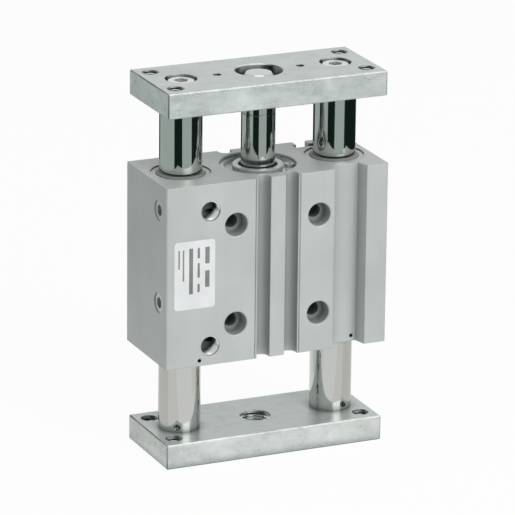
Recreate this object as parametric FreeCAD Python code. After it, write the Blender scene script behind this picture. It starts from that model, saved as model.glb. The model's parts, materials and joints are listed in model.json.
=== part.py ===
import FreeCAD, Part
import math
import os

# Guided pneumatic cylinder with a plate at each end: bore 32, stroke 50.
# Millimetres. +Z is the stroke axis, with the front end at the top. -Y is the
# face with the air ports. The origin is the middle of the rear plate's
# underside, on which the cylinder stands.

V = FreeCAD.Vector
UP = V(0, 0, 1)

# ---------------------------------------------------------------- main sizes
BORE_D = 32.0
STROKE = 50.0
EXTENSION_AT_REST = 22.5      # how far the rod is out, of the whole stroke
END_GAP = 10.0                # plate to housing when the piston is at a stop
BUMPER_GAP = 0.05             # piston to bumper when the piston is at a stop

GUIDE_ROD_D = 20.0
PISTON_ROD_D = 16.0
PLATE_THICKNESS = 12.0
PLATE_INSET_X = 1.0           # plate's edge inside the housing's, at each side
PLATE_INSET_Y = 0.75

HOUSING_EDGE_R = 0.8
PLATE_CHAMFER = 0.5
ROD_END_CHAMFER = 1.0
HOLE_CHAMFER = 0.4

# ------------------------------------------------------ walls of the housing
MOUNT_WALL = 1.65             # bore to mounting hole
GUIDE_WALL = 3.12             # mounting hole to guide bore
SIDE_WALL = 2.95              # guide holder to the housing's side
BACK_WALL = 0.95              # guide holder to the depth of a T-slot's floor
RECESS_WALL = 2.0             # mounting counterbore to the front recess
T_SLOT_WALL = 1.25            # tapped mounting hole to a T-slot
AIRWAY_WALL = 0.45            # front airway to the mounting hole below it

# ------------------------------------------------------------------ fits
SLIDE_GAP = 0.03              # radial, a rod in its bush or seal
PISTON_GAP = 0.05             # radial, the piston in the bore
SEAL_GAP = 0.02               # radial, a piston seal or wear ring in the bore
SEAT_GAP = 0.05               # radial, a cover or ring in its seat
THREAD_GAP = 0.03             # radial, a screw in its tapped hole
GROOVE_GAP = 0.10             # axial, a ring in its groove

# ----------------------------------------------------- covers in the bore
SEAT_STEP = 2.0               # radial, seat of the covers outside the bore
FRONT_RECESS = 1.5            # end face down to the front circlip
REAR_RECESS = 1.0             # end face up to the rear circlip
CIRCLIP_THICKNESS = 1.5
CIRCLIP_GROOVE_DEPTH = 1.0
CIRCLIP_WIDTH = 2.9           # radial, at the back of the ring
CIRCLIP_SHIFT = 0.58          # inner edge off centre, which tapers the ring
CIRCLIP_LUG_INSET = 0.6       # radial, lug inside the seat
CIRCLIP_LUG_ROOM = 1.0        # radial, lug clear of the collar's boss
CIRCLIP_LUG_ANGLE = 13.0      # from the middle of the gap to a lug
CIRCLIP_GAP_AT = -30.0        # angle of the gap round the axis, from +X

COLLAR_THICKNESS = 11.0
COLLAR_BOSS_WALL = 1.2        # radial, boss outside the rod seal
COLLAR_BOSS_DROP = 0.3        # boss below the end face
COLLAR_MOUTH_GAP = 1.2        # radial, mouth clear of the rod
ROD_SEAL_WALL = 2.8           # radial, seal outside the rod
ROD_SEAL_LENGTH = 5.0
ROD_SEAL_DROP = 2.0           # top of the seal groove below the end face
ROD_SEAL_CUP = 1.0            # width of the groove between the seal's lips
ROD_SEAL_EDGE = 0.3           # width of the wiper lip's edge
ROD_SEAL_WEB = 0.8            # metal between the seal groove and the bush
ROD_BUSH_WALL = 1.2
HEAD_COVER_THICKNESS = 5.5

GASKET_GROOVE_DEPTH = 2.4
GASKET_GROOVE_WIDTH = 2.6

BUMPER_THICKNESS = 2.5
BUMPER_SEATING = 1.0          # depth of the bumper in its cover
BUMPER_OUTER_GAP = 1.5        # radial, bumper inside the bore
BUMPER_INNER_GAP = 2.0        # radial, bumper clear of the rod

# ------------------------------------------------------------------ piston
PISTON_SKIRT = 1.0            # below the lowest groove
ROD_SEATING = 1.5             # depth of the rod end in the piston
PISTON_SEAL_WIDTH = 3.2
PISTON_SEAL_DEPTH = 3.2       # radial
PISTON_SEAL_FROM_TOP = 1.4
SEAL_LIP_WIDTH = 0.9
SEAL_WAIST = 0.5              # radial, how far the waist is below the lips
MAGNET_WIDTH = 2.6
MAGNET_DEPTH = 2.6            # radial
MAGNET_SUNK = 0.35            # radial, magnet below the piston's skin
WEAR_RING_WIDTH = 2.4
WEAR_RING_DEPTH = 1.6         # radial
PISTON_RIB = 0.9              # metal left between two grooves

# --------------------------------------------------------------- guide ends
GUIDE_BUSH_WALL = 1.5
GUIDE_BUSH_LENGTH = 20.0
REAR_BUSH_INSET = 1.5
HOLDER_WALL = 4.0             # radial, wiper holder outside the guide rod
HOLDER_THICKNESS = 1.8
HOLDER_DROP = 0.6             # holder below the end face
WIPER_WALL = 2.5              # radial, wiper outside the guide rod
WIPER_LENGTH = 3.4
WIPER_LIP_WALL = 1.3
WIPER_LIP_HEIGHT = 0.8        # lip above the holder

# ------------------------------------------- housing profile, along the stroke
GROOVE_X = 7.0                # sensor grooves, on the front and the back
GROOVE_WIDTH = 6.6
GROOVE_DEPTH = 5.0
GUIDE_LINE_X = 11.2           # fine V line on each side of the grooves
GUIDE_LINE_WIDTH = 0.6
GUIDE_LINE_DEPTH = 0.35
RECESS_WIDTH = 16.5           # wide recess on the right of the front
RECESS_DEPTH = 6.4
RECESS_DRAFT = 1.8            # how much narrower each side is at the floor
T_SLOT_MOUTH = 6.5            # T-slots on the back
T_SLOT_MOUTH_CHAMFER = 0.4
T_SLOT_LIP = 4.8
T_SLOT_WIDTH = 10.5
T_SLOT_DEPTH = 9.0

# --------------------------------------------------- holes in the housing
MOUNT_SPACING_Z = 48.0
MOUNT_HOLE_D = 6.7
MOUNT_COUNTERBORE_D = 11.2
MOUNT_COUNTERBORE_DEPTH = 7.0
MOUNT_THREAD_D = 8.0
MOUNT_THREAD_DEPTH = 16.0
PORT_D = 9.73
PORT_DEPTH = 8.5
PORT_FROM_GUIDE = 5.0         # port nearer the middle than the guide rod
FRONT_PORT_RISE = 1.0         # port above the collar's inner end
REAR_PORT_RISE = 1.2          # port above the head cover's inner end
AIRWAY_D = 2.8
AIRWAY_MARGIN = 0.4           # airway clear of the cover beside it
AIRWAY_OVERLAP = 1.0          # airway into the hole it opens from
PLUG_FROM_FRONT = 9.6
PLUG_END_GAP = 0.5            # plug to the end of its hole
FRONT_PLUG_FROM_TOP = 12.8
REAR_PLUG_FROM_TOP = 57.4
PLUG_LENGTH = 6.0
PLUG_DROP = 0.5
PLUG_HEX = 5.0
PLUG_HEX_DEPTH = 3.5
VENT_D = 1.8
VENT_DEPTH = 3.0
VENT_FROM_BOTTOM = 2.6
VENT_FROM_GUIDE = 0.2         # left vent, outside the guide rod's line
VENT_FROM_RECESS = 4.35       # right vent, from the recess's middle

# ------------------------------------------------------- holes in the plates
PLATE_THREAD_D = 8.0
PLATE_THREAD_INSET_X = 7.0    # from the plate's edge
PLATE_THREAD_INSET_Y = 8.25
DOWEL_D = 4.0
DOWEL_SPACING = 42.0
DOWEL_DEPTH = 6.0
REAR_CENTRE_THREAD_D = 14.0
ROD_END_STEP = 1.0            # radial, rod end inside the rod
ROD_END_DROP = 1.0            # rod end below the front plate's face
ROD_END_ROOM = 4.0            # radial, counterbore outside the rod end
ROD_END_COUNTERBORE_DEPTH = 6.0
ROD_END_RING_THICKNESS = 2.4
ROD_END_RING_WIDTH = 3.6      # radial
ROD_END_RING_BITE = 0.7       # radial, ring in the groove of the rod end
ROD_END_RING_GAP = 9.0
ROD_NECK_AT = 7.3             # turned line below the front plate
ROD_NECK_WIDTH = 0.8
ROD_NECK_DEPTH = 0.3

SCREW_D = 8.0                 # guide rod screws
SCREW_HEAD_D = 13.0
SCREW_HEAD_HEIGHT = 8.0
SCREW_HEAD_CHAMFER = 0.5
SCREW_HEX = 6.0
SCREW_HEX_DEPTH = 4.0
SCREW_THREAD_LENGTH = 16.0    # screw in the rod
SCREW_HOLE_GAP = 0.3          # radial, plate's hole round the screw
SCREW_HEAD_ROOM = 1.1         # radial, counterbore round the head
SCREW_HEAD_DROP = 0.8         # head below the plate's face
ROD_TAP_EXTRA = 4.0           # tapped hole beyond the screw's end

PISTON_SCREW_HEAD_D = 13.0
PISTON_SCREW_HEAD_HEIGHT = 4.0
PISTON_SCREW_DROP = 0.6       # head below the piston's face
PISTON_SCREW_LENGTH = 22.0    # below the head
PISTON_SCREW_HEX = 5.0
PISTON_SCREW_HEX_DEPTH = 2.4

# ---------------------------------------------------------- worked-out places
BORE_R = BORE_D / 2
ROD_R = PISTON_ROD_D / 2
GUIDE_R = GUIDE_ROD_D / 2
SEAT_R = BORE_R + SEAT_STEP
BUSH_OUTER_R = GUIDE_R + SLIDE_GAP + GUIDE_BUSH_WALL
WIPER_R = GUIDE_R + WIPER_WALL
HOLDER_R = GUIDE_R + HOLDER_WALL
HOLDER_SEAT_R = HOLDER_R + SEAT_GAP

ROD_SEAL_R = ROD_R + ROD_SEAL_WALL
COLLAR_MOUTH_R = ROD_R + COLLAR_MOUTH_GAP
COLLAR_BOSS_R = ROD_SEAL_R + COLLAR_BOSS_WALL
CIRCLIP_LUG_R = (SEAT_R - CIRCLIP_LUG_INSET - CIRCLIP_LUG_ROOM - COLLAR_BOSS_R) / 2
CIRCLIP_LUG_HOLE_R = CIRCLIP_LUG_R / 2
BUMPER_OUTER_R = BORE_R - BUMPER_OUTER_GAP
BUMPER_INNER_R = ROD_R + BUMPER_INNER_GAP
ROD_END_R = ROD_R - ROD_END_STEP

MOUNT_X = BORE_R + MOUNT_WALL + MOUNT_HOLE_D / 2
GUIDE_X = MOUNT_X + MOUNT_HOLE_D / 2 + GUIDE_WALL + BUSH_OUTER_R
RECESS_X = MOUNT_X + MOUNT_COUNTERBORE_D / 2 + RECESS_WALL + RECESS_WIDTH / 2
T_SLOT_X = MOUNT_X + MOUNT_THREAD_D / 2 + T_SLOT_WALL + T_SLOT_WIDTH / 2
PORT_X = PORT_FROM_GUIDE - GUIDE_X
HOUSING_WIDTH = 2 * (GUIDE_X + HOLDER_SEAT_R + SIDE_WALL)
# as deep as the bore or the guides need, whichever is more
HOUSING_DEPTH = 2 * max(
    SEAT_R + CIRCLIP_GROOVE_DEPTH + GROOVE_DEPTH,
    HOLDER_SEAT_R + BACK_WALL + T_SLOT_DEPTH,
)
FRONT_Y = -HOUSING_DEPTH / 2
BACK_Y = HOUSING_DEPTH / 2
LEFT_X = -HOUSING_WIDTH / 2
PLUG_Y = FRONT_Y + PLUG_FROM_FRONT

PLATE_WIDTH = HOUSING_WIDTH - 2 * PLATE_INSET_X
PLATE_DEPTH = HOUSING_DEPTH - 2 * PLATE_INSET_Y
PLATE_THREAD_PLACE_X = PLATE_WIDTH / 2 - PLATE_THREAD_INSET_X
PLATE_THREAD_PLACE_Y = PLATE_DEPTH / 2 - PLATE_THREAD_INSET_Y
SCREW_COUNTERBORE_DEPTH = SCREW_HEAD_HEIGHT + SCREW_HEAD_DROP
PISTON_SCREW_COUNTERBORE_DEPTH = PISTON_SCREW_HEAD_HEIGHT + PISTON_SCREW_DROP
PLUG_HOLE_DEPTH = PLUG_DROP + PLUG_LENGTH + PLUG_END_GAP
PISTON_THICKNESS = (
    PISTON_SEAL_FROM_TOP + PISTON_SEAL_WIDTH + MAGNET_WIDTH + WEAR_RING_WIDTH
    + 2 * PISTON_RIB + PISTON_SKIRT
)

BUMPER_PROUD = BUMPER_THICKNESS - BUMPER_SEATING
FRONT_STACK = FRONT_RECESS + CIRCLIP_THICKNESS + COLLAR_THICKNESS + BUMPER_PROUD
REAR_STACK = REAR_RECESS + CIRCLIP_THICKNESS + HEAD_COVER_THICKNESS + BUMPER_PROUD
HOUSING_LENGTH = (
    REAR_STACK + BUMPER_GAP + PISTON_THICKNESS + STROKE + BUMPER_GAP + FRONT_STACK
)

REAR_PLATE_TOP = PLATE_THICKNESS
BOTTOM = REAR_PLATE_TOP + END_GAP + STROKE - EXTENSION_AT_REST
TOP = BOTTOM + HOUSING_LENGTH
FRONT_PLATE_UNDERSIDE = TOP + END_GAP + EXTENSION_AT_REST
FRONT_PLATE_TOP = FRONT_PLATE_UNDERSIDE + PLATE_THICKNESS

COLLAR_TOP = TOP - FRONT_RECESS - CIRCLIP_THICKNESS
COLLAR_BOTTOM = COLLAR_TOP - COLLAR_THICKNESS
HEAD_COVER_BOTTOM = BOTTOM + REAR_RECESS + CIRCLIP_THICKNESS
HEAD_COVER_TOP = HEAD_COVER_BOTTOM + HEAD_COVER_THICKNESS
PISTON_BOTTOM = HEAD_COVER_TOP + BUMPER_PROUD + BUMPER_GAP + EXTENSION_AT_REST
PISTON_TOP = PISTON_BOTTOM + PISTON_THICKNESS
PISTON_R = BORE_R - PISTON_GAP

ROD_SEAL_TOP = TOP - ROD_SEAL_DROP
ROD_SEAL_BOTTOM = ROD_SEAL_TOP - ROD_SEAL_LENGTH
ROD_BUSH_R = ROD_R + SLIDE_GAP + ROD_BUSH_WALL
ROD_BUSH_TOP = ROD_SEAL_BOTTOM - ROD_SEAL_WEB
HOLDER_TOP = TOP - HOLDER_DROP
HOLDER_BOTTOM = HOLDER_TOP - HOLDER_THICKNESS
WIPER_BOTTOM = HOLDER_BOTTOM - WIPER_LENGTH
FRONT_BUSH_TOP = WIPER_BOTTOM
REAR_BUSH_BOTTOM = BOTTOM + REAR_BUSH_INSET

FRONT_AIRWAY_Z = COLLAR_BOTTOM - AIRWAY_MARGIN - AIRWAY_D / 2
REAR_AIRWAY_Z = HEAD_COVER_TOP + AIRWAY_MARGIN + AIRWAY_D / 2
MOUNT_TOP_Z = FRONT_AIRWAY_Z - AIRWAY_D / 2 - AIRWAY_WALL - MOUNT_HOLE_D / 2
MOUNT_PLACES = [
    (side * MOUNT_X, MOUNT_TOP_Z - row * MOUNT_SPACING_Z)
    for side in (-1, 1)
    for row in (0, 1)
]
CORNER_PLACES = [
    (x * PLATE_THREAD_PLACE_X, y * PLATE_THREAD_PLACE_Y) for x in (-1, 1) for y in (-1, 1)
]
FRONT_PORT_Z = COLLAR_BOTTOM + FRONT_PORT_RISE
REAR_PORT_Z = HEAD_COVER_TOP + REAR_PORT_RISE
FRONT_PLUG_Z = TOP - FRONT_PLUG_FROM_TOP
REAR_PLUG_Z = TOP - REAR_PLUG_FROM_TOP
SIDES = (("left", -1), ("right", 1))


# ------------------------------------------------------------- basic forms
def face_of(points):
    """Flat face inside a closed outline of 3-D points."""
    return Part.Face(Part.makePolygon([V(*p) for p in points] + [V(*points[0])]))


def turned(outline, x=0.0, y=0.0):
    """Solid turned about a vertical axis from an outline of (radius, z) points."""
    section = face_of([(x + r, y, z) for r, z in outline])
    return section.revolve(V(x, y, 0), UP, 360)


def rod(radius, z0, z1, x=0.0, y=0.0):
    return Part.makeCylinder(radius, z1 - z0, V(x, y, z0), UP)


def tube(outer_r, inner_r, z0, z1, x=0.0):
    return turned([(inner_r, z0), (outer_r, z0), (outer_r, z1), (inner_r, z1)], x)


def drill(diameter, depth, start, direction):
    """Plain round hole as a cutter."""
    return Part.makeCylinder(diameter / 2, depth, start, direction)


def chamfered_drill(diameter, depth, start, direction):
    """Round hole with a chamfered mouth, turned in one piece, as a cutter."""
    r = diameter / 2
    mouth_r = r + HOLE_CHAMFER
    hole = turned([(0, 0), (mouth_r, 0), (r, HOLE_CHAMFER), (r, depth), (0, depth)])
    hole.Placement = FreeCAD.Placement(start, FreeCAD.Rotation(UP, direction))
    return hole


def hex_prism(across_flats, depth, start, direction):
    """Hexagon socket as a cutter, from its start along a direction."""
    corner = across_flats / math.sqrt(3)
    spots = [(corner * math.cos(a), corner * math.sin(a), 0) for a in sixths()]
    prism = face_of(spots).extrude(V(0, 0, depth))
    prism.Placement = FreeCAD.Placement(start, FreeCAD.Rotation(UP, direction))
    return prism


def sixths():
    return [math.radians(60 * i) for i in range(6)]


def along_stroke(points):
    """Cutter for a groove that runs the whole length of the housing."""
    return face_of([(x, y, BOTTOM) for x, y in points]).extrude(V(0, 0, HOUSING_LENGTH))


# ------------------------------------------------------------------ housing
def sensor_groove(x, face_y, inward):
    """Round-bottomed groove. inward is +1 from the front face, -1 from the back."""
    half = GROOVE_WIDTH / 2
    centre_y = face_y + inward * (GROOVE_DEPTH - half)
    left, right = V(x - half, face_y, BOTTOM), V(x + half, face_y, BOTTOM)
    left_in, right_in = V(x - half, centre_y, BOTTOM), V(x + half, centre_y, BOTTOM)
    bottom = V(x, centre_y + inward * half, BOTTOM)
    outline = Part.Wire(
        [
            Part.makeLine(right, left),
            Part.makeLine(left, left_in),
            Part.Arc(left_in, bottom, right_in).toShape(),
            Part.makeLine(right_in, right),
        ]
    )
    return Part.Face(outline).extrude(V(0, 0, HOUSING_LENGTH))


def guide_line(x):
    half = GUIDE_LINE_WIDTH / 2
    return along_stroke(
        [(x - half, FRONT_Y), (x + half, FRONT_Y), (x, FRONT_Y + GUIDE_LINE_DEPTH)]
    )


def front_recess():
    half = RECESS_WIDTH / 2
    floor_half = half - RECESS_DRAFT
    floor_y = FRONT_Y + RECESS_DEPTH
    return along_stroke(
        [
            (RECESS_X - half, FRONT_Y),
            (RECESS_X + half, FRONT_Y),
            (RECESS_X + floor_half, floor_y),
            (RECESS_X - floor_half, floor_y),
        ]
    )


def t_slot(x):
    """T-slot in the back face, with a chamfered mouth."""
    mouth = T_SLOT_MOUTH / 2
    half = T_SLOT_WIDTH / 2
    lip_y = BACK_Y - T_SLOT_LIP
    floor_y = BACK_Y - T_SLOT_DEPTH
    one_side = [
        (mouth + T_SLOT_MOUTH_CHAMFER, BACK_Y),
        (mouth, BACK_Y - T_SLOT_MOUTH_CHAMFER),
        (mouth, lip_y),
        (half, lip_y),
        (half, floor_y),
    ]
    right = [(x + dx, y) for dx, y in one_side]
    left = [(x - dx, y) for dx, y in reversed(one_side)]
    return along_stroke(right + left)


def profile_cutters():
    """All that the extrusion's profile leaves out of the plain block."""
    cutters = [front_recess()]
    for side in (-1, 1):
        cutters.append(sensor_groove(side * GROOVE_X, FRONT_Y, 1))
        cutters.append(sensor_groove(side * GROOVE_X, BACK_Y, -1))
        cutters.append(guide_line(side * GUIDE_LINE_X))
        cutters.append(t_slot(side * T_SLOT_X))
    return cutters


def cylinder_bore():
    """Bore, the seat at each end for its cover, and both circlip grooves."""
    front_groove = TOP - FRONT_RECESS - CIRCLIP_THICKNESS
    rear_groove = BOTTOM + REAR_RECESS
    groove_r = SEAT_R + CIRCLIP_GROOVE_DEPTH
    return turned(
        [
            (0, BOTTOM),
            (SEAT_R, BOTTOM),
            (SEAT_R, rear_groove),
            (groove_r, rear_groove),
            (groove_r, rear_groove + CIRCLIP_THICKNESS),
            (SEAT_R, rear_groove + CIRCLIP_THICKNESS),
            (SEAT_R, HEAD_COVER_TOP),
            (BORE_R, HEAD_COVER_TOP),
            (BORE_R, COLLAR_BOTTOM),
            (SEAT_R, COLLAR_BOTTOM),
            (SEAT_R, front_groove),
            (groove_r, front_groove),
            (groove_r, front_groove + CIRCLIP_THICKNESS),
            (SEAT_R, front_groove + CIRCLIP_THICKNESS),
            (SEAT_R, TOP - HOLE_CHAMFER),
            (SEAT_R + HOLE_CHAMFER, TOP),
            (0, TOP),
        ]
    )


def guide_bore(x):
    """Bore for both bushes, with the seats of the wiper and its holder on top."""
    return turned(
        [
            (0, BOTTOM),
            (BUSH_OUTER_R, BOTTOM),
            (BUSH_OUTER_R, WIPER_BOTTOM),
            (WIPER_R + SEAT_GAP, WIPER_BOTTOM),
            (WIPER_R + SEAT_GAP, HOLDER_BOTTOM),
            (HOLDER_SEAT_R, HOLDER_BOTTOM),
            (HOLDER_SEAT_R, TOP),
            (0, TOP),
        ],
        x,
    )


def mount_hole(x, z):
    """Through hole, counterbored at the front and tapped from the back."""
    front, back = V(x, FRONT_Y, z), V(x, BACK_Y, z)
    through = drill(MOUNT_HOLE_D, HOUSING_DEPTH, front, V(0, 1, 0))
    counterbore = chamfered_drill(
        MOUNT_COUNTERBORE_D, MOUNT_COUNTERBORE_DEPTH, front, V(0, 1, 0)
    )
    thread = drill(MOUNT_THREAD_D, MOUNT_THREAD_DEPTH, back, V(0, -1, 0))
    return [through, counterbore, thread]


def port(z, airway_z):
    """Air port in the front face and the airway from it to the bore."""
    start = V(PORT_X, FRONT_Y, z)
    inner_end = V(PORT_X, FRONT_Y + PORT_DEPTH - AIRWAY_D / 2, airway_z)
    to_axis = V(-inner_end.x, -inner_end.y, 0)
    airway = drill(AIRWAY_D, to_axis.Length - BORE_R / 2, inner_end, to_axis)
    return [drill(PORT_D, PORT_DEPTH, start, V(0, 1, 0)), airway]


def side_port(z):
    return drill(PORT_D, PLUG_HOLE_DEPTH, V(LEFT_X, PLUG_Y, z), V(1, 0, 0))


def cross_airway():
    """Joins the front side port to the front air port beside it."""
    start = V(LEFT_X + PLUG_HOLE_DEPTH - AIRWAY_OVERLAP, FRONT_Y + PORT_DEPTH, FRONT_PORT_Z)
    return drill(AIRWAY_D, PORT_X - start.x, start, V(1, 0, 0))


def vents():
    z = BOTTOM + VENT_FROM_BOTTOM
    left = V(-GUIDE_X - VENT_FROM_GUIDE, FRONT_Y, z)
    right = V(RECESS_X + VENT_FROM_RECESS, FRONT_Y + RECESS_DEPTH, z)
    return [drill(VENT_D, VENT_DEPTH, spot, V(0, 1, 0)) for spot in (left, right)]


def housing():
    block = Part.makeBox(
        HOUSING_WIDTH, HOUSING_DEPTH, HOUSING_LENGTH, V(LEFT_X, FRONT_Y, BOTTOM)
    )
    upright = [e for e in block.Edges if abs(e.tangentAt(0).z) > 0.9]
    block = block.makeFillet(HOUSING_EDGE_R, upright)

    cutters = profile_cutters()
    cutters.append(cylinder_bore())
    for _, side in SIDES:
        cutters.append(guide_bore(side * GUIDE_X))
    for x, z in MOUNT_PLACES:
        cutters += mount_hole(x, z)
    cutters += port(FRONT_PORT_Z, FRONT_AIRWAY_Z)
    cutters += port(REAR_PORT_Z, REAR_AIRWAY_Z)
    cutters += [side_port(FRONT_PLUG_Z), side_port(REAR_PLUG_Z), cross_airway()]
    cutters += vents()
    return block.cut(tuple(cutters))


def side_plug(z):
    """Hexagon socket plug screwed into a side port."""
    start = V(LEFT_X + PLUG_DROP, PLUG_Y, z)
    inward = V(1, 0, 0)
    body = drill(PORT_D - 2 * THREAD_GAP, PLUG_LENGTH, start, inward)
    return body.cut(hex_prism(PLUG_HEX, PLUG_HEX_DEPTH, start, inward))


# ----------------------------------------------------- front end of the bore
def front_collar():
    """Rod cover: flange, raised boss, seal groove, bush seat and bumper seat."""
    outer_r = SEAT_R - SEAT_GAP
    boss_top = TOP - COLLAR_BOSS_DROP
    seal_r = ROD_SEAL_R + SEAT_GAP
    groove_z = (COLLAR_TOP + COLLAR_BOTTOM) / 2
    groove_r = SEAT_R - GASKET_GROOVE_DEPTH
    body = turned(
        [
            (ROD_BUSH_R, COLLAR_BOTTOM),
            (outer_r, COLLAR_BOTTOM),
            (outer_r, groove_z - GASKET_GROOVE_WIDTH / 2),
            (groove_r, groove_z - GASKET_GROOVE_WIDTH / 2),
            (groove_r, groove_z + GASKET_GROOVE_WIDTH / 2),
            (outer_r, groove_z + GASKET_GROOVE_WIDTH / 2),
            (outer_r, COLLAR_TOP),
            (COLLAR_BOSS_R, COLLAR_TOP),
            (COLLAR_BOSS_R, boss_top - HOLE_CHAMFER),
            (COLLAR_BOSS_R - HOLE_CHAMFER, boss_top),
            (COLLAR_MOUTH_R + HOLE_CHAMFER, boss_top),
            (COLLAR_MOUTH_R, boss_top - HOLE_CHAMFER),
            (COLLAR_MOUTH_R, ROD_SEAL_TOP + GROOVE_GAP),
            (seal_r, ROD_SEAL_TOP + GROOVE_GAP),
            (seal_r, ROD_SEAL_BOTTOM - GROOVE_GAP),
            (ROD_R + 2 * SLIDE_GAP, ROD_SEAL_BOTTOM - GROOVE_GAP),
            (ROD_R + 2 * SLIDE_GAP, ROD_BUSH_TOP),
            (ROD_BUSH_R, ROD_BUSH_TOP),
        ]
    )
    return body.cut(bumper_seat(COLLAR_BOTTOM, COLLAR_BOTTOM + BUMPER_SEATING))


def cover_gasket(z):
    """Square ring in a cover's groove, sealing on the seat."""
    half = GASKET_GROOVE_WIDTH / 2 - GROOVE_GAP
    return tube(SEAT_R - SEAT_GAP / 2, SEAT_R - GASKET_GROOVE_DEPTH, z - half, z + half)


def rod_seal():
    """U-cup with its groove to the pressure side and a wiper lip on top."""
    inner_r = ROD_R + SLIDE_GAP
    outer_r = ROD_SEAL_R
    middle_r = (inner_r + outer_r) / 2
    lip_r = COLLAR_MOUTH_R - SEAT_GAP
    lip_top = ROD_SEAL_TOP + ROD_SEAL_DROP / 2
    return turned(
        [
            (inner_r, ROD_SEAL_BOTTOM),
            (middle_r - ROD_SEAL_CUP / 2, ROD_SEAL_BOTTOM),
            (middle_r, ROD_SEAL_BOTTOM + ROD_SEAL_LENGTH / 3),
            (middle_r + ROD_SEAL_CUP / 2, ROD_SEAL_BOTTOM),
            (outer_r, ROD_SEAL_BOTTOM),
            (outer_r, ROD_SEAL_TOP),
            (lip_r, ROD_SEAL_TOP),
            (inner_r + ROD_SEAL_EDGE, lip_top),
            (inner_r, lip_top),
        ]
    )


def rod_bush():
    return tube(ROD_BUSH_R, ROD_R + SLIDE_GAP, COLLAR_BOTTOM, ROD_BUSH_TOP)


def bumper_seat(z0, z1):
    return tube(BUMPER_OUTER_R + SEAT_GAP, BUMPER_INNER_R - SEAT_GAP, z0, z1)


def front_bumper():
    z0 = COLLAR_BOTTOM - BUMPER_PROUD
    return tube(BUMPER_OUTER_R, BUMPER_INNER_R, z0, z0 + BUMPER_THICKNESS)


def circlip(z):
    """Internal retaining ring, tapered to its lugs, sprung into the groove."""
    outer_r = SEAT_R + CIRCLIP_GROOVE_DEPTH - SEAT_GAP
    ring = rod(outer_r, z, z + CIRCLIP_THICKNESS)
    gap_at = math.radians(CIRCLIP_GAP_AT)
    hole_x = CIRCLIP_SHIFT * math.cos(gap_at)
    hole_y = CIRCLIP_SHIFT * math.sin(gap_at)
    inner_r = outer_r - CIRCLIP_WIDTH + CIRCLIP_SHIFT
    ring = ring.cut(rod(inner_r, z, z + CIRCLIP_THICKNESS, hole_x, hole_y))

    gap_half = math.radians(CIRCLIP_LUG_ANGLE)
    reach = 2 * outer_r
    sides = (gap_at - gap_half, gap_at + gap_half)
    corners = [(reach * math.cos(a), reach * math.sin(a), z) for a in sides]
    wedge = face_of([(0, 0, z)] + corners).extrude(V(0, 0, CIRCLIP_THICKNESS))
    ring = ring.cut(wedge)

    lug_centre_r = SEAT_R - CIRCLIP_LUG_R - CIRCLIP_LUG_INSET
    for sign in (-1, 1):
        angle = gap_at + sign * (gap_half + CIRCLIP_LUG_R / lug_centre_r)
        x, y = lug_centre_r * math.cos(angle), lug_centre_r * math.sin(angle)
        ring = ring.fuse(rod(CIRCLIP_LUG_R, z, z + CIRCLIP_THICKNESS, x, y))
        ring = ring.cut(rod(CIRCLIP_LUG_HOLE_R, z, z + CIRCLIP_THICKNESS, x, y))
    return ring.removeSplitter()


# ------------------------------------------------------ rear end of the bore
def head_cover():
    outer_r = SEAT_R - SEAT_GAP
    groove_z = (HEAD_COVER_BOTTOM + HEAD_COVER_TOP) / 2
    groove_r = SEAT_R - GASKET_GROOVE_DEPTH
    body = turned(
        [
            (0, HEAD_COVER_BOTTOM),
            (outer_r, HEAD_COVER_BOTTOM),
            (outer_r, groove_z - GASKET_GROOVE_WIDTH / 2),
            (groove_r, groove_z - GASKET_GROOVE_WIDTH / 2),
            (groove_r, groove_z + GASKET_GROOVE_WIDTH / 2),
            (outer_r, groove_z + GASKET_GROOVE_WIDTH / 2),
            (outer_r, HEAD_COVER_TOP),
            (0, HEAD_COVER_TOP),
        ]
    )
    return body.cut(bumper_seat(HEAD_COVER_TOP - BUMPER_SEATING, HEAD_COVER_TOP))


def rear_bumper():
    z1 = HEAD_COVER_TOP + BUMPER_PROUD
    return tube(BUMPER_OUTER_R, BUMPER_INNER_R, z1 - BUMPER_THICKNESS, z1)


# ------------------------------------------------------------- guide bushings
def guide_bush(x, z0):
    inner_r = GUIDE_R + SLIDE_GAP
    return tube(BUSH_OUTER_R, inner_r, z0, z0 + GUIDE_BUSH_LENGTH, x)


def guide_holder(x):
    """Ring that keeps the wiper down, with a countersunk mouth round its lip."""
    inner_r = GUIDE_R + SLIDE_GAP + WIPER_LIP_WALL + SEAT_GAP
    return turned(
        [
            (inner_r, HOLDER_BOTTOM),
            (HOLDER_R, HOLDER_BOTTOM),
            (HOLDER_R, HOLDER_TOP),
            (inner_r + HOLE_CHAMFER, HOLDER_TOP),
            (inner_r, HOLDER_TOP - HOLE_CHAMFER),
        ],
        x,
    )


def guide_wiper(x):
    """Rubber ring with a lip that stands up round the rod."""
    inner_r = GUIDE_R + SLIDE_GAP
    lip_r = inner_r + WIPER_LIP_WALL
    lip_top = HOLDER_TOP + WIPER_LIP_HEIGHT
    return turned(
        [
            (inner_r, WIPER_BOTTOM),
            (WIPER_R, WIPER_BOTTOM),
            (WIPER_R, HOLDER_BOTTOM),
            (lip_r, HOLDER_BOTTOM),
            (lip_r, HOLDER_TOP + WIPER_LIP_HEIGHT / 3),
            (inner_r + WIPER_LIP_WALL / 3, lip_top),
            (inner_r, lip_top),
        ],
        x,
    )


# -------------------------------------------------------------------- piston
def piston_grooves():
    """Lower and upper z of the grooves for the seal, the magnet and the wear ring."""
    seal_top = PISTON_TOP - PISTON_SEAL_FROM_TOP
    seal = (seal_top - PISTON_SEAL_WIDTH, seal_top)
    magnet_top = seal[0] - PISTON_RIB
    magnet = (magnet_top - MAGNET_WIDTH, magnet_top)
    wear_top = magnet[0] - PISTON_RIB
    wear = (wear_top - WEAR_RING_WIDTH, wear_top)
    return seal, magnet, wear


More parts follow.
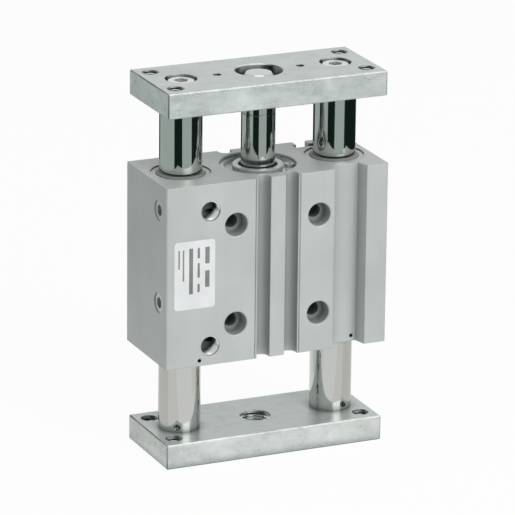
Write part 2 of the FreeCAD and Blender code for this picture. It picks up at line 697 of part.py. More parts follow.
def piston():
    seal, magnet, wear = piston_grooves()
    cutters = [
        tube(BORE_R, PISTON_R - PISTON_SEAL_DEPTH, *seal),
        tube(BORE_R, PISTON_R - MAGNET_DEPTH, *magnet),
        tube(BORE_R, PISTON_R - WEAR_RING_DEPTH, *wear),
        rod(ROD_R, PISTON_TOP - ROD_SEATING, PISTON_TOP),
        rod(SCREW_D / 2, PISTON_BOTTOM, PISTON_TOP),
        rod(
            PISTON_SCREW_HEAD_D / 2 + SEAT_GAP,
            PISTON_BOTTOM,
            PISTON_BOTTOM + PISTON_SCREW_COUNTERBORE_DEPTH,
        ),
    ]
    return rod(PISTON_R, PISTON_BOTTOM, PISTON_TOP).cut(tuple(cutters))


def piston_seal():
    """Double-acting seal: a lip at each end and a waist between them."""
    z0, z1 = piston_grooves()[0]
    z0, z1 = z0 + GROOVE_GAP / 2, z1 - GROOVE_GAP / 2
    lip_r = BORE_R - SEAL_GAP
    waist_r = lip_r - SEAL_WAIST
    inner_r = PISTON_R - PISTON_SEAL_DEPTH
    return turned(
        [
            (inner_r, z0),
            (waist_r, z0),
            (lip_r, z0 + SEAL_LIP_WIDTH / 2),
            (waist_r, z0 + SEAL_LIP_WIDTH),
            (waist_r, z1 - SEAL_LIP_WIDTH),
            (lip_r, z1 - SEAL_LIP_WIDTH / 2),
            (waist_r, z1),
            (inner_r, z1),
        ]
    )


def piston_magnet():
    z0, z1 = piston_grooves()[1]
    return tube(PISTON_R - MAGNET_SUNK, PISTON_R - MAGNET_DEPTH, z0, z1)


def piston_wear_ring():
    z0, z1 = piston_grooves()[2]
    return tube(BORE_R - SEAL_GAP, PISTON_R - WEAR_RING_DEPTH, z0, z1)


def cap_screw(seat_z, up, head_d, head_height, shank_length, hex_size, hex_depth, x=0.0):
    """Socket cap screw. Its head rests on seat_z and stands towards up (+1 or -1)."""
    outward = V(0, 0, up)
    seat = V(x, 0, seat_z)
    face = seat + outward * head_height
    edge = SCREW_HEAD_CHAMFER
    head = Part.makeCylinder(head_d / 2, head_height - edge, seat, outward)
    shoulder = seat + outward * (head_height - edge)
    rim = Part.makeCone(head_d / 2, head_d / 2 - edge, edge, shoulder, outward)
    shank = drill(SCREW_D - 2 * THREAD_GAP, shank_length, seat, V(0, 0, -up))
    socket = hex_prism(hex_size, hex_depth, face, V(0, 0, -up))
    return head.fuse((rim, shank)).cut(socket).removeSplitter()


def piston_screw():
    return cap_screw(
        PISTON_BOTTOM + PISTON_SCREW_COUNTERBORE_DEPTH,
        -1,
        PISTON_SCREW_HEAD_D,
        PISTON_SCREW_HEAD_HEIGHT,
        PISTON_SCREW_LENGTH,
        PISTON_SCREW_HEX,
        PISTON_SCREW_HEX_DEPTH,
    )


# ---------------------------------------------------------------------- rods
def rod_end_ring_places():
    """Lower and upper z of the ring that holds the rod end to the front plate."""
    z0 = FRONT_PLATE_TOP - ROD_END_COUNTERBORE_DEPTH
    return z0, z0 + ROD_END_RING_THICKNESS


def piston_rod():
    """Rod with its seat in the piston, a turned line and a ringed end."""
    z0 = PISTON_TOP - ROD_SEATING
    neck_top = FRONT_PLATE_UNDERSIDE - ROD_NECK_AT
    neck_bottom = neck_top - ROD_NECK_WIDTH
    neck_r = ROD_R - ROD_NECK_DEPTH
    end_r = ROD_END_R
    end_top = FRONT_PLATE_TOP - ROD_END_DROP
    ring_z0, ring_z1 = rod_end_ring_places()
    groove_r = end_r - ROD_END_RING_BITE
    body = turned(
        [
            (0, z0),
            (ROD_R, z0),
            (ROD_R, neck_bottom),
            (neck_r, neck_bottom),
            (neck_r, neck_top),
            (ROD_R, neck_top),
            (ROD_R, FRONT_PLATE_UNDERSIDE),
            (end_r, FRONT_PLATE_UNDERSIDE),
            (end_r, ring_z0),
            (groove_r, ring_z0),
            (groove_r, ring_z1),
            (end_r, ring_z1),
            (end_r, end_top - ROD_END_CHAMFER),
            (end_r - ROD_END_CHAMFER, end_top),
            (0, end_top),
        ]
    )
    screw_end = PISTON_BOTTOM + PISTON_SCREW_COUNTERBORE_DEPTH + PISTON_SCREW_LENGTH
    return body.cut(rod(SCREW_D / 2, z0, screw_end + ROD_TAP_EXTRA))


def rod_end_ring():
    """Split ring in the rod end's groove, resting in the plate's counterbore."""
    z0, z1 = rod_end_ring_places()
    inner_r = ROD_END_R - ROD_END_RING_BITE
    ring = tube(inner_r + ROD_END_RING_WIDTH, inner_r, z0, z1)
    reach = inner_r + ROD_END_RING_WIDTH
    gap = Part.makeBox(reach, ROD_END_RING_GAP, z1 - z0, V(0, -ROD_END_RING_GAP / 2, z0))
    return ring.cut(gap)


def guide_rod(x):
    """Ground rod from plate to plate, tapped at both ends."""
    z0, z1 = REAR_PLATE_TOP, FRONT_PLATE_UNDERSIDE
    depth = SCREW_THREAD_LENGTH + ROD_TAP_EXTRA
    rear_tap = rod(SCREW_D / 2, z0, z0 + depth, x)
    front_tap = rod(SCREW_D / 2, z1 - depth, z1, x)
    return rod(GUIDE_R, z0, z1, x).cut((rear_tap, front_tap))


# -------------------------------------------------------------------- plates
def plain_plate(z0):
    """Chamfered plate with its four tapped corner holes."""
    corner = V(-PLATE_WIDTH / 2, -PLATE_DEPTH / 2, z0)
    plate = Part.makeBox(PLATE_WIDTH, PLATE_DEPTH, PLATE_THICKNESS, corner)
    plate = plate.makeChamfer(PLATE_CHAMFER, plate.Edges)
    z1 = z0 + PLATE_THICKNESS
    threads = [rod(PLATE_THREAD_D / 2, z0, z1, x, y) for x, y in CORNER_PLACES]
    return plate.cut(tuple(threads))


def guide_screw_holes(x, outer_z, inward):
    """Counterbored hole from a plate's outer face, as cutters."""
    start = V(x, 0, outer_z)
    head_room_d = SCREW_HEAD_D + 2 * SCREW_HEAD_ROOM
    return [
        drill(head_room_d, SCREW_COUNTERBORE_DEPTH, start, inward),
        drill(SCREW_D + 2 * SCREW_HOLE_GAP, PLATE_THICKNESS, start, inward),
    ]


def front_plate():
    down = V(0, 0, -1)
    centre = V(0, 0, FRONT_PLATE_TOP)
    cutters = [
        chamfered_drill(
            2 * (ROD_END_R + ROD_END_ROOM), ROD_END_COUNTERBORE_DEPTH, centre, down
        ),
        drill(2 * (ROD_END_R + SEAT_GAP), PLATE_THICKNESS, centre, down),
    ]
    for _, side in SIDES:
        dowel = V(side * DOWEL_SPACING / 2, 0, FRONT_PLATE_TOP)
        cutters.append(drill(DOWEL_D, DOWEL_DEPTH, dowel, down))
        cutters += guide_screw_holes(side * GUIDE_X, FRONT_PLATE_TOP, down)
    return plain_plate(FRONT_PLATE_UNDERSIDE).cut(tuple(cutters))


def rear_plate():
    centre = V(0, 0, REAR_PLATE_TOP)
    cutters = [chamfered_drill(REAR_CENTRE_THREAD_D, PLATE_THICKNESS, centre, V(0, 0, -1))]
    for _, side in SIDES:
        cutters += guide_screw_holes(side * GUIDE_X, 0, UP)
    return plain_plate(0).cut(tuple(cutters))


def guide_screw(x, seat_z, up):
    web = PLATE_THICKNESS - SCREW_COUNTERBORE_DEPTH
    return cap_screw(
        seat_z,
        up,
        SCREW_HEAD_D,
        SCREW_HEAD_HEIGHT,
        web + SCREW_THREAD_LENGTH,
        SCREW_HEX,
        SCREW_HEX_DEPTH,
        x,
    )


# ------------------------------------------------------------------ assembly
def all_nodes():
    web = PLATE_THICKNESS - SCREW_COUNTERBORE_DEPTH
    nodes = {
        "housing": housing(),
        "front_side_plug": side_plug(FRONT_PLUG_Z),
        "rear_side_plug": side_plug(REAR_PLUG_Z),
        "front_collar": front_collar(),
        "front_collar_gasket": cover_gasket((COLLAR_TOP + COLLAR_BOTTOM) / 2),
        "front_circlip": circlip(COLLAR_TOP),
        "rod_seal": rod_seal(),
        "rod_bush": rod_bush(),
        "front_bumper": front_bumper(),
        "head_cover": head_cover(),
        "head_cover_gasket": cover_gasket((HEAD_COVER_TOP + HEAD_COVER_BOTTOM) / 2),
        "rear_circlip": circlip(BOTTOM + REAR_RECESS),
        "rear_bumper": rear_bumper(),
        "piston": piston(),
        "piston_seal": piston_seal(),
        "piston_magnet": piston_magnet(),
        "piston_wear_ring": piston_wear_ring(),
        "piston_screw": piston_screw(),
        "piston_rod": piston_rod(),
        "rod_end_ring": rod_end_ring(),
        "front_plate": front_plate(),
        "rear_plate": rear_plate(),
    }
    for name, side in SIDES:
        x = side * GUIDE_X
        nodes["guide_rod_" + name] = guide_rod(x)
        nodes["front_guide_bush_" + name] = guide_bush(x, FRONT_BUSH_TOP - GUIDE_BUSH_LENGTH)
        nodes["rear_guide_bush_" + name] = guide_bush(x, REAR_BUSH_BOTTOM)
        nodes["guide_holder_" + name] = guide_holder(x)
        nodes["guide_wiper_" + name] = guide_wiper(x)
        front_seat = FRONT_PLATE_UNDERSIDE + web
        nodes["front_guide_screw_" + name] = guide_screw(x, front_seat, 1)
        nodes["rear_guide_screw_" + name] = guide_screw(x, REAR_PLATE_TOP - web, -1)
    return nodes


os.makedirs("parts", exist_ok=True)
for node_name, shape in all_nodes().items():
    shape.exportStep("parts/" + node_name + ".step")
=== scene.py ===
import json
import math

import bmesh
import bpy
from mathutils import Matrix, Vector

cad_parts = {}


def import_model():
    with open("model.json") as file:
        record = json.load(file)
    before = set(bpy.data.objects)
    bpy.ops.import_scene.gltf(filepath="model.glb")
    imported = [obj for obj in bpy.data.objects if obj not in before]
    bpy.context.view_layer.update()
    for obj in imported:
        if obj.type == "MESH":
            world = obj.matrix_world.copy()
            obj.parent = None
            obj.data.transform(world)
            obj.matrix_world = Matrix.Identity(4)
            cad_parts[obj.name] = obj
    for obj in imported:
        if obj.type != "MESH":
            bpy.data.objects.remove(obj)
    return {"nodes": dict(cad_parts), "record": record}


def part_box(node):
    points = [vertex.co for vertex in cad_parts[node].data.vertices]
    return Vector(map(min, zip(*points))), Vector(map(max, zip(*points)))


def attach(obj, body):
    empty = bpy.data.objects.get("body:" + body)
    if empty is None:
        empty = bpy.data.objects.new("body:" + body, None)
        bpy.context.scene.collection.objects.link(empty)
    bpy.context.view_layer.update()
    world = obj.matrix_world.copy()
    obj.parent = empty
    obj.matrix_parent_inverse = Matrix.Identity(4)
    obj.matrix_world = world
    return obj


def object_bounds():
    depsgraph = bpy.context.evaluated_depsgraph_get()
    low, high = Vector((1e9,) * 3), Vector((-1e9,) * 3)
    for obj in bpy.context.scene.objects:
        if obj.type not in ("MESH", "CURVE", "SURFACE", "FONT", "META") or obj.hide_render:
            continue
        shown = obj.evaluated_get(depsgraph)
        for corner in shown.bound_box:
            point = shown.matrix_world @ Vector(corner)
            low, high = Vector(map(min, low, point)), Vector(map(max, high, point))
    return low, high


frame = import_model()
cad_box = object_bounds()

# Guided pneumatic cylinder: finishes, thread ridges, the bare label, floor, light and camera.
# Metres, in the frame's axes: +Z along the stroke, -Y out of the face with the air ports.

NODES = frame["nodes"]
MOUNTS = {mount["name"]: mount for mount in frame["record"]["mounts"]}
MM = 0.001

# ------------------------------------------------------------------ sizes
# carrying node, body, thread pitch and depth from the face, by mount
THREADS = {
    "front_plate_threads": ("front_plate", "slider", 1.25 * MM, 12.0 * MM),
    "rear_plate_threads": ("rear_plate", "slider", 1.25 * MM, 12.0 * MM),
    "rear_plate_centre_thread": ("rear_plate", "slider", 1.5 * MM, 12.0 * MM),
    "housing_back_threads": ("housing", "housing", 1.25 * MM, 16.0 * MM),
    "front_air_port": ("housing", "housing", 0.907 * MM, 8.5 * MM),
    "rear_air_port": ("housing", "housing", 0.907 * MM, 8.5 * MM),
}
THREAD_MARGIN = 0.5 * MM          # plain stretch at each end of a thread
THREAD_GAP = 0.02 * MM            # between a sleeve's outside and the hole's wall
THREAD_SKIN = 0.02 * MM           # a sleeve's wall at the roots of its ridge
THREAD_HEIGHT = 0.54              # ridge height as a share of the pitch
THREAD_STEPS = 48                 # points round one turn
WELD = 0.0005 * MM                # points closer than this become one

LABEL_SIZE = Vector((20.4 * MM, 33.0 * MM))
LABEL_FROM_LEFT = 3.9 * MM        # label's edge from the housing's left edge
LABEL_FROM_TOP = 26.2 * MM        # label's edge from the housing's top
LABEL_THICKNESS = 0.12 * MM
LABEL_CORNER_R = 1.6 * MM
LABEL_CORNER_STEPS = 6
BAR_THICKNESS = 0.02 * MM
BAR_CORNER_R = 0.15 * MM
BAR_CORNER_STEPS = 2
# plain bars on the label, in mm: across from its left edge, down from its top, width, length
BARS = (
    (2.0, 4.0, 0.7, 9.0),
    (4.2, 4.0, 0.7, 15.0),
    (7.4, 3.6, 1.9, 22.0),
    (11.6, 3.6, 1.1, 5.0),
    (11.6, 11.0, 1.1, 7.0),
    (11.6, 21.0, 1.1, 4.0),
    (15.4, 3.6, 2.2, 8.0),
    (15.4, 15.0, 2.2, 8.0),
)

# metres, and the lens and sensor in mm
CAMERA_PLACE = Vector((-0.8085, -1.8063, 0.7320))
CAMERA_FORWARD = Vector((0.3888, 0.8682, -0.3084))
CAMERA_ROLL = math.radians(0.64)
CAMERA_LENS = 310.5
SENSOR_WIDTH = 36.0

FLOOR_SIZE = 3.0
FLOOR_COLOUR = (0.86, 0.865, 0.865)
FLOOR_COLOUR_2 = (0.88, 0.885, 0.885)
FLOOR_CLOUD = (4, 4, 4)           # noise per metre
FLOOR_WHITENESS = 0.95            # how far the seen floor goes from its lit colour to white
ROOM_LIGHT = 0.38
WHITE = (1, 1, 1, 1)
# reflectors: azimuth from and to in degrees, (radius, height) of two edges, and colour
GREY = (0.52, 0.60, 0.575)
BLACK = (0.010, 0.019, 0.016)
PALE = (0.90, 0.89, 0.87)
PALE_2 = (0.77, 0.77, 0.75)
FAR_FLOOR = ((0.28, 0.001), (1.2, 0.001))
NEAR_FLOOR = ((0.06, 0.001), (0.28, 0.001))
REFLECTORS = {
    "grey_left": (-160, -59, *FAR_FLOOR, GREY),
    "black_front_left": (-59, -19, *FAR_FLOOR, BLACK),
    "grey_front": (-19, 33, *FAR_FLOOR, GREY),
    "black_right": (33, 200, *FAR_FLOOR, BLACK),
    "pale_left": (-85, -50, *NEAR_FLOOR, PALE),
    "pale_far_left": (-150, -85, *NEAR_FLOOR, PALE_2),
    "pale_right": (25, 55, *NEAR_FLOOR, PALE),
    "pale_far_right": (55, 130, *NEAR_FLOOR, PALE_2),
}
REFLECTOR_STEP = 4                # degrees between two points of an edge
# lamps: azimuth, elevation, distance, width and height, watts
LAMPS = {
    "key": (15, 32, 1.3, (0.9, 0.9), 10.0),
    "top": (-10, 80, 1.2, (0.9, 0.7), 2.0),
}

# --------------------------------------------------------------- finishes
# noise per metre along each axis
EXTRUSION_LINES = (2600, 2600, 9)
MILLING_LINES = (160, 3200, 160)
HOUSING_CLOUD = (45, 45, 30)
PLATE_MOTTLE = (150, 190, 240)
PLATE_CLOUD = (55, 70, 60)
PLATE_GRAIN = (700, 2400, 2400)
ROD_GRINDING = (40, 40, 5200)
ROD_HAZE = (60, 60, 25)
LATHE_RINGS = (900, 900, 4200)
METAL_CLOUD = (220, 220, 220)
MOULDED_CLOUD = (150, 150, 150)
MOULDED_GRAIN = 1800
LABEL_GRAIN = 900
# bump heights
SATIN_RELIEF = 0.006 * MM
GROUND_RELIEF = 0.0006 * MM
TURNED_RELIEF = 0.004 * MM
MOULDED_RELIEF = 0.01 * MM
# how softly edges are shaded
HOUSING_EDGE_R = 0.45 * MM
PLATE_EDGE_R = 0.2 * MM
TURNED_EDGE_R = 0.12 * MM
# how near another surface has to be to darken this one with painted shade
HOUSING_REACH = 7 * MM
PLATE_REACH = 5 * MM
ROD_REACH = 5 * MM
THREAD_REACH = 7 * MM
ROOT_REACH = 0.8 * MM
# darker and lighter colour of each finish, and the tints that its colour is multiplied by
HOUSING_COLOURS = ((0.470, 0.503, 0.493), (0.545, 0.571, 0.561))
# housing corner and deep tints: painted shade in corners and deep in holes
HOUSING_CORNER_SHADE = (0.38, 0.42, 0.41)
HOUSING_DEEP_SHADE = (0.06, 0.08, 0.075)
PLATE_COLOURS = ((0.520, 0.556, 0.540), (0.700, 0.736, 0.720))
# plate end-face tint: painted shade on the plates' top and bottom faces
PLATE_END_FACE_SHADE = (0.77, 0.80, 0.79)
# plate corner and deep tints: painted shade in corners and deep in holes
PLATE_CORNER_SHADE = (0.30, 0.33, 0.32)
PLATE_DEEP_SHADE = (0.15, 0.17, 0.165)
# plate edge tint: painted dark reflection on the chamfers round the plates' ends
PLATE_EDGE_REFLECTION_TINT = (0.03, 0.04, 0.035)
CHROME_COLOURS = ((0.505, 0.515, 0.495), (0.560, 0.568, 0.548))
CHROME_END_FACE_TINT = (0.88, 0.97, 0.95)
# chrome closed tint: painted shade on a rod where it enters another piece
CHROME_CLOSED_SHADE = (0.25, 0.27, 0.26)
# thread root tint: painted shade in the roots of the thread
THREAD_ROOT_SHADE = (0.12, 0.14, 0.135)
# thread corner and deep tints: painted shade in the threaded holes, darker deeper in
THREAD_CORNER_SHADE = (0.62, 0.65, 0.64)
THREAD_DEEP_SHADE = (0.34, 0.37, 0.36)
CUT_STEEL = ((0.62, 0.66, 0.64), (0.76, 0.79, 0.77))
CUT_ALUMINIUM = ((0.72, 0.75, 0.74), (0.84, 0.86, 0.85))
COVER_METAL = ((0.42, 0.45, 0.44), (0.52, 0.55, 0.54))
RING_STEEL = ((0.085, 0.095, 0.09), (0.15, 0.16, 0.155))
SCREW_METAL = ((0.62, 0.63, 0.62), (0.75, 0.76, 0.75))
HOLDER_METAL = ((0.485, 0.518, 0.508), (0.530, 0.556, 0.546))
ZINC = ((0.50, 0.52, 0.51), (0.64, 0.65, 0.64))
PISTON_METAL = ((0.60, 0.61, 0.60), (0.70, 0.71, 0.70))
BRONZE = ((0.42, 0.30, 0.16), (0.55, 0.40, 0.23))
RUBBER = ((0.018, 0.018, 0.018), (0.035, 0.034, 0.033))
WIPER_RUBBER = ((0.20, 0.22, 0.19), (0.27, 0.29, 0.26))
POLYURETHANE = ((0.05, 0.05, 0.06), (0.08, 0.08, 0.09))
FERRITE = ((0.07, 0.06, 0.06), (0.11, 0.10, 0.10))
ACETAL = ((0.72, 0.71, 0.67), (0.82, 0.80, 0.76))
LABEL_FILM = ((0.74, 0.76, 0.76), (0.80, 0.82, 0.82))
LABEL_GREY = ((0.16, 0.17, 0.17), (0.24, 0.25, 0.25))


# ------------------------------------------------------------ node helpers

def add(tree, kind, **settings):
    made = tree.nodes.new(kind)
    for name, value in settings.items():
        setattr(made, name, value)
    return made


def stretched(tree, stretch):
    """The piece's own coordinates, stretched along each axis."""
    place = add(tree, "ShaderNodeTexCoord")
    mapping = add(tree, "ShaderNodeMapping")
    mapping.inputs["Scale"].default_value = stretch
    tree.links.new(place.outputs["Object"], mapping.inputs["Vector"])
    return mapping.outputs["Vector"]


def noise(tree, stretch, detail=4.0, roughness=0.5):
    made = add(tree, "ShaderNodeTexNoise")
    made.inputs["Scale"].default_value = 1.0
    made.inputs["Detail"].default_value = detail
    made.inputs["Roughness"].default_value = roughness
    tree.links.new(stretched(tree, stretch), made.inputs["Vector"])
    return made.outputs["Fac"]


def spread(tree, value, low, high, start=0.3, end=0.7):
    """Maps a factor from start..end to low..high."""
    made = add(tree, "ShaderNodeMapRange")
    made.inputs["From Min"].default_value = start
    made.inputs["From Max"].default_value = end
    made.inputs["To Min"].default_value = low
    made.inputs["To Max"].default_value = high
    tree.links.new(value, made.inputs["Value"])
    return made.outputs["Result"]


def math_node(tree, operation, *values):
    made = add(tree, "ShaderNodeMath", operation=operation)
    for i, value in enumerate(values):
        if isinstance(value, (int, float)):
            made.inputs[i].default_value = value
        else:
            tree.links.new(value, made.inputs[i])
    return made.outputs["Value"]


def blend_colours(tree, factor, first, second):
    made = add(tree, "ShaderNodeMix", data_type="RGBA")
    sockets = [socket for socket in made.inputs if socket.type == "RGBA"]
    for socket, colour in zip(sockets, (first, second)):
        socket.default_value = (*colour, 1)
    tree.links.new(factor, made.inputs["Factor"])
    return [out for out in made.outputs if out.type == "RGBA"][0]


def tinted(tree, factor, colour, tint):
    """A colour, multiplied by the tint where the factor is 1."""
    made = add(tree, "ShaderNodeMix", data_type="RGBA", blend_type="MULTIPLY")
    base, other = [socket for socket in made.inputs if socket.type == "RGBA"]
    other.default_value = (*tint, 1)
    tree.links.new(colour, base)
    tree.links.new(factor, made.inputs["Factor"])
    return [out for out in made.outputs if out.type == "RGBA"][0]


def facing(tree, axis):
    """How far a face looks along one axis of its piece, either way."""
    place = add(tree, "ShaderNodeTexCoord")
    parts = add(tree, "ShaderNodeSeparateXYZ")
    tree.links.new(place.outputs["Normal"], parts.inputs["Vector"])
    return math_node(tree, "ABSOLUTE", parts.outputs[axis])


def end_face_mask(tree):
    """1 on faces that look along the stroke, 0 on the sides."""
    return spread(tree, facing(tree, "Z"), 0, 1, start=0.8, end=0.95)


def end_edge_mask(tree):
    """1 on the chamfers round a plate's two short ends."""
    side = facing(tree, "X")
    off_the_long_sides = spread(tree, side, 0, 1, start=0.4, end=0.6)
    off_the_end = spread(tree, side, 1, 0, start=0.85, end=0.95)
    return math_node(tree, "MULTIPLY", off_the_long_sides, off_the_end)


def openness(tree, reach):
    """1 in the open, less where other surfaces close in within the reach."""
    around = add(tree, "ShaderNodeAmbientOcclusion", samples=8)
    around.inputs["Distance"].default_value = reach
    return around.outputs["AO"]


def shaded(tree, colour, reach, corner_shade, deep_shade):
    """A colour with painted shade, darkened in corners and again deep in holes, and the share of
    that depth.
    """
    around = openness(tree, reach)
    deep = spread(tree, around, 1, 0, start=0.12, end=0.46)
    corner = spread(tree, around, 1, 0, start=0.30, end=0.95)
    # painted shade: corners and holes darkened by how shut in they are
    colour = tinted(tree, corner, colour, corner_shade)
    return tinted(tree, deep, colour, deep_shade), deep


def relief(tree, surface, height, distance, edge_radius=0.0):
    """Bump from a height, over softly rounded edges where edge_radius is given."""
    bump = add(tree, "ShaderNodeBump")
    bump.inputs["Distance"].default_value = distance
    tree.links.new(height, bump.inputs["Height"])
    if edge_radius:
        bevel = add(tree, "ShaderNodeBevel", samples=4)
        bevel.inputs["Radius"].default_value = edge_radius
        tree.links.new(bevel.outputs["Normal"], bump.inputs["Normal"])
    tree.links.new(bump.outputs["Normal"], surface.inputs["Normal"])


def added(tree, first, second, share):
    """The first value, plus a share of the second."""
    return math_node(tree, "ADD", first, math_node(tree, "MULTIPLY", second, share))


def blended(tree, first, second, share):
    """The second value by its share, and the first by the rest."""
    return added(tree, math_node(tree, "MULTIPLY", first, 1 - share), second, share)


def material(name, metallic, roughness, specular=0.5):
    made = bpy.data.materials.new(name)
    made.use_nodes = True
    surface = made.node_tree.nodes["Principled BSDF"]
    surface.inputs["Metallic"].default_value = metallic
    surface.inputs["Roughness"].default_value = roughness
    surface.inputs["Specular IOR Level"].default_value = specular
    return made, made.node_tree, surface


# --------------------------------------------------------------- materials

def anodised_housing():
    """Satin extrusion with faint lines along the stroke and milled end faces, and painted shade
    in its corners and holes.
    """
    made, tree, surface = material("anodised_housing", metallic=0.30, roughness=0.48)
    lines = noise(tree, EXTRUSION_LINES, detail=3)
    cloud = noise(tree, HOUSING_CLOUD, detail=3)
    milling = noise(tree, MILLING_LINES, detail=2)
    ends = end_face_mask(tree)
    tone = blended(tree, lines, cloud, share=0.8)
    colour = blend_colours(tree, spread(tree, tone, 0, 1), *HOUSING_COLOURS)
    # painted shade in corners and holes
    colour, deep = shaded(
        tree, colour, HOUSING_REACH, HOUSING_CORNER_SHADE, HOUSING_DEEP_SHADE
    )
    tree.links.new(colour, surface.inputs["Base Color"])
    rough = added(tree, spread(tree, tone, 0.44, 0.52), deep, 0.45)
    tree.links.new(rough, surface.inputs["Roughness"])
    height = add(tree, "ShaderNodeMix")
    tree.links.new(ends, height.inputs["Factor"])
    tree.links.new(lines, height.inputs["A"])
    tree.links.new(milling, height.inputs["B"])
    relief(tree, surface, height.outputs["Result"], SATIN_RELIEF, HOUSING_EDGE_R)
    return made


def plated_plate():
    """Zinc-plated steel, finely mottled, with painted shade on its top and bottom faces and in
    hollows, and the edges round its sawn ends darker by a painted dark reflection.
    """
    made, tree, surface = material("plated_plate", metallic=0.52, roughness=0.32)
    mottle = noise(tree, PLATE_MOTTLE, detail=5, roughness=0.6)
    clouds = noise(tree, PLATE_CLOUD, detail=3)
    grain = noise(tree, PLATE_GRAIN, detail=2)
    tone = blended(tree, mottle, clouds, share=0.4)
    colour = blend_colours(tree, spread(tree, tone, 0, 1, 0.36, 0.64), *PLATE_COLOURS)
    # painted shade on the faces along the stroke, the plates' tops and bottoms
    colour = tinted(tree, end_face_mask(tree), colour, PLATE_END_FACE_SHADE)
    # painted shade in corners and holes
    colour, _ = shaded(tree, colour, PLATE_REACH, PLATE_CORNER_SHADE, PLATE_DEEP_SHADE)
    # painted dark reflection on the chamfers round the sawn ends, broken up by the cloud noise
    dark_edge_reflection = math_node(tree, "MULTIPLY", end_edge_mask(tree), spread(tree, clouds, 0.5, 1))
    colour = tinted(tree, dark_edge_reflection, colour, PLATE_EDGE_REFLECTION_TINT)
    tree.links.new(colour, surface.inputs["Base Color"])
    rough = spread(tree, tone, 0.24, 0.40, 0.36, 0.64)
    tree.links.new(rough, surface.inputs["Roughness"])
    height = added(tree, mottle, grain, 0.15)
    relief(tree, surface, height, SATIN_RELIEF, PLATE_EDGE_R)
    return made


def hard_chrome():
    """Ground and chromed rod, bright, and darker where it enters another piece, by painted
    shade.
    """
    made, tree, surface = material("hard_chrome", metallic=1.0, roughness=0.06)
    grinding = noise(tree, ROD_GRINDING, detail=2)
    haze = noise(tree, ROD_HAZE, detail=3)
    colour = blend_colours(tree, haze, *CHROME_COLOURS)
    colour = tinted(tree, end_face_mask(tree), colour, CHROME_END_FACE_TINT)
    # painted shade on the rod near where it enters another piece
    closed = spread(tree, openness(tree, ROD_REACH), 1, 0, start=0.35, end=0.95)
    colour = tinted(tree, closed, colour, CHROME_CLOSED_SHADE)
    tree.links.new(colour, surface.inputs["Base Color"])
    tree.links.new(spread(tree, haze, 0.045, 0.085), surface.inputs["Roughness"])
    relief(tree, surface, grinding, GROUND_RELIEF)
    return made


def turned_metal(name, colours, metallic=0.9, rough=(0.25, 0.38)):
    """Lathe-turned or plated small part, with fine rings round its axis."""
    made, tree, surface = material(name, metallic, sum(rough) / 2)
    rings = noise(tree, LATHE_RINGS, detail=2)
    cloud = noise(tree, METAL_CLOUD, detail=3)
    colour = blend_colours(tree, spread(tree, cloud, 0, 1), *colours)
    tree.links.new(colour, surface.inputs["Base Color"])
    tree.links.new(spread(tree, cloud, *rough), surface.inputs["Roughness"])
    relief(tree, surface, rings, TURNED_RELIEF, TURNED_EDGE_R)
    return made


def cut_metal(name, colours):
    """Bright thread crests over roots darkened by painted shade, with more painted shade deep in
    the hole.
    """
    made, tree, surface = material(name, metallic=1.0, roughness=0.2)
    cloud = noise(tree, METAL_CLOUD, detail=3)
    colour = blend_colours(tree, spread(tree, cloud, 0, 1), *colours)
    # painted shade at the thread roots
    roots = spread(tree, openness(tree, ROOT_REACH), 1, 0, start=0.45, end=0.85)
    colour = tinted(tree, roots, colour, THREAD_ROOT_SHADE)
    # painted shade deep in the threaded hole
    colour, _ = shaded(tree, colour, THREAD_REACH, THREAD_CORNER_SHADE, THREAD_DEEP_SHADE)
    tree.links.new(colour, surface.inputs["Base Color"])
    tree.links.new(spread(tree, cloud, 0.14, 0.26), surface.inputs["Roughness"])
    return made


def moulded(name, colours, rough=(0.5, 0.7), grain_size=MOULDED_GRAIN):
    """Rubber or plastic with a fine grain."""
    made, tree, surface = material(name, 0.0, sum(rough) / 2, specular=0.4)
    grain = noise(tree, (grain_size,) * 3, detail=3)
    cloud = noise(tree, MOULDED_CLOUD, detail=2)
    colour = blend_colours(tree, spread(tree, cloud, 0, 1), *colours)
    tree.links.new(colour, surface.inputs["Base Color"])
    tree.links.new(spread(tree, grain, *rough), surface.inputs["Roughness"])
    relief(tree, surface, grain, MOULDED_RELIEF)
    return made


def paint_nodes():
    """Gives each CAD node the material of its slot."""
    rubber = moulded("nitrile_rubber", RUBBER)
    zinc = turned_metal("zinc_plated", ZINC)
    plate = plated_plate()
    chrome = hard_chrome()
    by_slot = {
        "anodised_housing": anodised_housing(),
        "plates": plate,
        "guide_rods": chrome,
        "piston_rod": chrome,
        "turned_covers": turned_metal("turned_cover", COVER_METAL, 0.55, (0.32, 0.42)),
        "circlips": turned_metal("spring_steel", COVER_METAL, 0.5),
        "rod_end_ring": turned_metal("ring_steel", RING_STEEL),
        "screws": turned_metal("nickel_screw", SCREW_METAL),
        "holders": turned_metal("holder_aluminium", HOLDER_METAL, 0.3, (0.42, 0.52)),
        "plugs": zinc,
        "piston": turned_metal("turned_piston", PISTON_METAL),
        "bushes": turned_metal("bearing_bronze", BRONZE),
        "gaskets": rubber,
        "rod_seal": rubber,
        "wipers": moulded("wiper_rubber", WIPER_RUBBER),
        "piston_seal": rubber,
        "bumpers": moulded("polyurethane", POLYURETHANE),
        "magnet": moulded("bonded_ferrite", FERRITE),
        "wear_ring": moulded("acetal", ACETAL, (0.35, 0.45)),
    }
    for part in frame["record"]["subparts"]:
        for place in NODES[part["node"]].material_slots:
            place.material = by_slot[part["material_slot"]]


# ------------------------------------------------------------ made pieces

def placed(name, data):
    """A new object in the scene."""
    made = bpy.data.objects.new(name, data)
    bpy.context.scene.collection.objects.link(made)
    return made


def new_piece(name, mesh, made, body):
    """A visible piece of the object, on one of its bodies."""
    piece = placed(name, mesh)
    piece.data.materials.append(made)
    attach(piece, body)
    return piece


